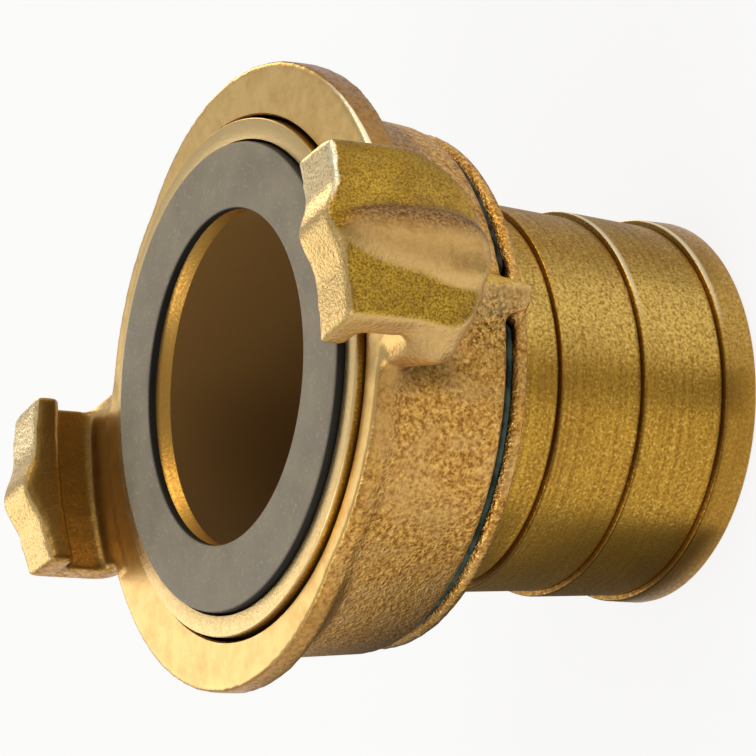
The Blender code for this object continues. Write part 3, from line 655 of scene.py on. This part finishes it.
def makeRubber(look):
    material, tree, shader = startMaterial("mouldedNitrileRubber")
    where = addNode(tree, "ShaderNodeTexCoord")
    spot = where.outputs["Object"]
    patch = addNode(tree, "ShaderNodeTexNoise", {"Scale": 1 / (look["patch"] * mm), "Detail": 4.0},
                    {"Vector": spot})
    grit = addNode(tree, "ShaderNodeTexNoise", {"Scale": 1 / (look["grit"] * mm), "Detail": 2.0},
                   {"Vector": spot})
    share = addNode(tree, "ShaderNodeMapRange", {"From Min": look["patchRange"][0],
                    "From Max": look["patchRange"][1]}, {"Value": patch.outputs["Fac"]})
    film = addNode(tree, "ShaderNodeMix", {"A": linearColor(look["dusty"]), "B": linearColor(look["dust"])},
                   {"Factor": share.outputs["Result"]}, data_type="RGBA")
    dots = addNode(tree, "ShaderNodeMapRange", {"From Min": look["dotRange"][0], "From Max": look["dotRange"][1],
                   "To Max": look["dotShare"]}, {"Value": grit.outputs["Fac"]})
    dotted = addNode(tree, "ShaderNodeMix", {"B": linearColor(look["dot"])},
                     {"Factor": dots.outputs["Result"], "A": film.outputs["Result"]}, data_type="RGBA")
    facing = addNode(tree, "ShaderNodeSeparateXYZ", None, {"Vector": where.outputs["Normal"]})
    front = addNode(tree, "ShaderNodeMapRange", {"From Min": look["frontRange"][0],
                    "From Max": look["frontRange"][1]}, {"Value": facing.outputs["Z"]})
    skin = addNode(tree, "ShaderNodeMix", {"A": linearColor(look["rubber"])},
                   {"Factor": front.outputs["Result"], "B": dotted.outputs["Result"]}, data_type="RGBA")
    bump = addNode(tree, "ShaderNodeBump", {"Strength": look["reliefStrength"],
                   "Distance": look["reliefDepth"] * mm}, {"Height": grit.outputs["Fac"]})
    matt = addNode(tree, "ShaderNodeMapRange", {"To Min": look["roughness"][0], "To Max": look["roughness"][1]},
                   {"Value": share.outputs["Result"]})
    tree.links.new(skin.outputs["Result"], shader.inputs["Base Color"])
    tree.links.new(matt.outputs["Result"], shader.inputs["Roughness"])
    tree.links.new(bump.outputs["Normal"], shader.inputs["Normal"])
    shader.inputs["IOR"].default_value = look["ior"]
    return material


# drawn brass wire left wet: chalky dark green verdigris over black-brown metal, with painted shade that keeps
# it black on the side that lay uppermost; sizes in mm
wireLook = {
    "green": "#2f4b44", "metal": "#20302b", "wireUpperShade": "#14110c", "crust": 2.4, "crustRange": (0.4, 0.58),
    "wireShadeRange": (2, 14), "wireShadeShare": 0.85, "bareMetal": 0.8, "roughness": 0.55,
    "reliefDepth": 0.1, "reliefStrength": 0.6,
}


def makeVerdigris(look):
    material, tree, shader = startMaterial("drawnWireVerdigris")
    spot = addNode(tree, "ShaderNodeTexCoord").outputs["Object"]
    crust = addNode(tree, "ShaderNodeTexNoise", {"Scale": 1 / (look["crust"] * mm), "Detail": 4.0},
                    {"Vector": spot})
    share = addNode(tree, "ShaderNodeMapRange", {"From Min": look["crustRange"][0],
                    "From Max": look["crustRange"][1]}, {"Value": crust.outputs["Fac"]})
    green = addNode(tree, "ShaderNodeMix", {"A": linearColor(look["metal"]), "B": linearColor(look["green"])},
                    {"Factor": share.outputs["Result"]}, data_type="RGBA")
    upper = addNode(tree, "ShaderNodeVectorMath", {1: skyward}, {0: spot}, operation="DOT_PRODUCT")
    wireShaded = addNode(tree, "ShaderNodeMapRange", {"From Min": look["wireShadeRange"][0] * mm,
                      "From Max": look["wireShadeRange"][1] * mm, "To Max": look["wireShadeShare"]},
                      {"Value": upper.outputs["Value"]})
    skin = addNode(tree, "ShaderNodeMix", {"B": linearColor(look["wireUpperShade"])},
                   {"Factor": wireShaded.outputs["Result"], "A": green.outputs["Result"]}, data_type="RGBA")
    metal = addNode(tree, "ShaderNodeMapRange", {"To Min": look["bareMetal"], "To Max": 0.0},
                    {"Value": share.outputs["Result"]})
    bump = addNode(tree, "ShaderNodeBump", {"Strength": look["reliefStrength"],
                   "Distance": look["reliefDepth"] * mm}, {"Height": crust.outputs["Fac"]})
    tree.links.new(skin.outputs["Result"], shader.inputs["Base Color"])
    tree.links.new(metal.outputs["Result"], shader.inputs["Metallic"])
    tree.links.new(bump.outputs["Normal"], shader.inputs["Normal"])
    shader.inputs["Roughness"].default_value = look["roughness"]
    return material


finishes = {
    "claw_ring": (ringPiece, "ring", "cast_brass", makeCastBrass(castBrass)),
    "hose_tail": (tailPiece, "tail", "turned_brass", makeTurnedBrass(turnedBrass, hoseTail)),
    "seal_ring": (sealPiece, "tail", "black_rubber", makeRubber(rubberLook)),
    "retaining_wire": (wirePiece, "ring", "aged_wire", makeVerdigris(wireLook)),
}
for node, (piece, body, slot, material) in finishes.items():
    piece.data.materials.clear()
    piece.data.materials.append(material)
    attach(piece, body)
    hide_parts(node)
print("materials on", len(finishes), "pieces")

# pale floor, white to the eye and in the brass, that still takes the shadow
floorLook = {"size": 6.0, "paper": "#f4f4f2", "roughness": 0.9, "lift": 0.85}


def makeFloor(look):
    bpy.ops.object.select_all(action="DESELECT")
    bpy.ops.mesh.primitive_plane_add(size=look["size"], location=(0, 0, 0))
    floor = bpy.context.object
    floor.name = "paperFloor"
    material, tree, shader = startMaterial("paleBackdropPaper")
    shader.inputs["Base Color"].default_value = linearColor(look["paper"])
    shader.inputs["Roughness"].default_value = look["roughness"]
    path = addNode(tree, "ShaderNodeLightPath")
    seen = addNode(tree, "ShaderNodeMath", None, {0: path.outputs["Is Camera Ray"],
                   1: path.outputs["Is Glossy Ray"]}, operation="MAXIMUM")
    seenToo = addNode(tree, "ShaderNodeMath", None, {0: seen.outputs["Value"],
                      1: path.outputs["Is Transmission Ray"]}, operation="MAXIMUM")
    lift = addNode(tree, "ShaderNodeMath", {1: look["lift"]}, {0: seenToo.outputs["Value"]},
                   operation="MULTIPLY")
    white = addNode(tree, "ShaderNodeEmission", {"Strength": 1.0})
    mixed = addNode(tree, "ShaderNodeMixShader", None, {0: lift.outputs["Value"],
                    1: shader.outputs["BSDF"], 2: white.outputs["Emission"]})
    tree.links.new(mixed.outputs["Shader"], tree.nodes["Material Output"].inputs["Surface"])
    floor.data.materials.append(material)


makeFloor(floorLook)

# dark cards laid on the floor, which fade out towards the tail: only the brass shows them, as the dark
# edges of its round sides; in mm
cardBoard = {"dark": "#15130f", "pale": "#221f19", "fibre": 2.5, "roughness": 0.9, "thickness": 0.3, "weld": 0.01}
darkCards = {
    "lowCard": {"cover": 0.9, "start": 25.5, "full": 29.5,
                "corners": [(14, -22), (14, -95), (-120, -95), (-120, 12), (-12, -24)]},
    "highCard": {"cover": 0.45, "start": 26, "full": 33,
                 "corners": [(25, 8), (62, 72), (-80, 110), (-110, 45), (-10, 22)]},
    "nearCard": {"cover": 0.55, "start": 26, "full": 33,
                 "corners": [(24, -10), (155, -57), (165, 5), (26, -4)]},
}


def makeDarkCards(cards, board):
    for name, look in cards.items():
        material, tree, shader = startMaterial(name + "Board")
        spot = addNode(tree, "ShaderNodeTexCoord").outputs["Object"]
        fibre = addNode(tree, "ShaderNodeTexNoise", {"Scale": 1 / (board["fibre"] * mm)}, {"Vector": spot})
        tint = addNode(tree, "ShaderNodeMix", {"A": linearColor(board["dark"]), "B": linearColor(board["pale"])},
                       {"Factor": fibre.outputs["Fac"]}, data_type="RGBA")
        away = addNode(tree, "ShaderNodeVectorMath", None, {0: spot}, operation="LENGTH")
        cover = addNode(tree, "ShaderNodeMapRange", {"From Min": look["start"] * mm,
                        "From Max": look["full"] * mm, "To Max": look["cover"]}, {"Value": away.outputs["Value"]})
        tree.links.new(tint.outputs["Result"], shader.inputs["Base Color"])
        tree.links.new(cover.outputs["Result"], shader.inputs["Alpha"])
        shader.inputs["Roughness"].default_value = board["roughness"]
        corners = look["corners"] + look["corners"][:1]
        card = drawLine(name, [(x * mm, y * mm, board["thickness"] * mm) for x, y in corners])
        weldAll(board["weld"] * mm)
        bpy.ops.mesh.edge_face_add()
        bpy.ops.object.mode_set(mode="OBJECT")
        card.data.materials.append(material)
        card.visible_camera = False
        card.visible_shadow = False
        card.visible_diffuse = False


makeDarkCards(darkCards, cardBoard)
print("floor and", len(darkCards), "cards laid")

# soft boxes: place, size, power and tint; each one is aimed at the middle of the coupling
lamps = {
    "farBox": {"place": (-0.91, 0.08, 0.52), "size": 0.6, "power": 1.8, "tint": "#fffaf0"},
    "rimBox": {"place": (-0.64, 0.77, 0.16), "size": 0.32, "power": 1.5, "tint": "#ffe9b8"},
    "sideBox": {"place": (0.45, 0.75, 0.45), "size": 0.5, "power": 2.2, "tint": "#fff2d0"},
    "nearBox": {"place": (0.1, -0.8, 0.75), "size": 0.5, "power": 2.7, "tint": "#ffffff"},
}
aim = Vector((0, 0, 0.045))
for name, look in lamps.items():
    lamp = bpy.data.lights.new(name, "AREA")
    lamp.size = look["size"]
    lamp.energy = look["power"]
    lamp.color = linearColor(look["tint"])[:3]
    box = bpy.data.objects.new(name, lamp)
    box.location = look["place"]
    box.rotation_euler = (aim - Vector(look["place"])).to_track_quat("-Z", "Y").to_euler()
    bpy.context.scene.collection.objects.link(box)

studioAir = {"tint": "#ffffff", "strength": 0.5}
world = bpy.data.worlds.new("studioAir")
world.use_nodes = True
background = world.node_tree.nodes["Background"]
background.inputs["Color"].default_value = linearColor(studioAir["tint"])
background.inputs["Strength"].default_value = studioAir["strength"]
bpy.context.scene.world = world

# long lens from the claw side, turned so that the bore lies across the picture
view = {"place": (0.40010, -0.17794, 0.28609), "right": (0.47709, -0.11860, -0.87081),
        "up": (0.36934, 0.92616, 0.07621), "ahead": (-0.79748, 0.35799, -0.48567),
        "lens": 180.95, "sensor": 36, "nearest": 0.01}
lens = bpy.data.cameras.new("photoCamera")
lens.lens = view["lens"]
lens.sensor_width = view["sensor"]
lens.clip_start = view["nearest"]
camera = bpy.data.objects.new("photoCamera", lens)
turned = Matrix((view["right"], view["up"], [-a for a in view["ahead"]])).transposed()
camera.matrix_world = Matrix.Translation(view["place"]) @ turned.to_4x4()
bpy.context.scene.collection.objects.link(camera)
bpy.context.scene.camera = camera
bpy.context.scene.view_settings.view_transform = "Standard"
print("stage, lamps and camera set")
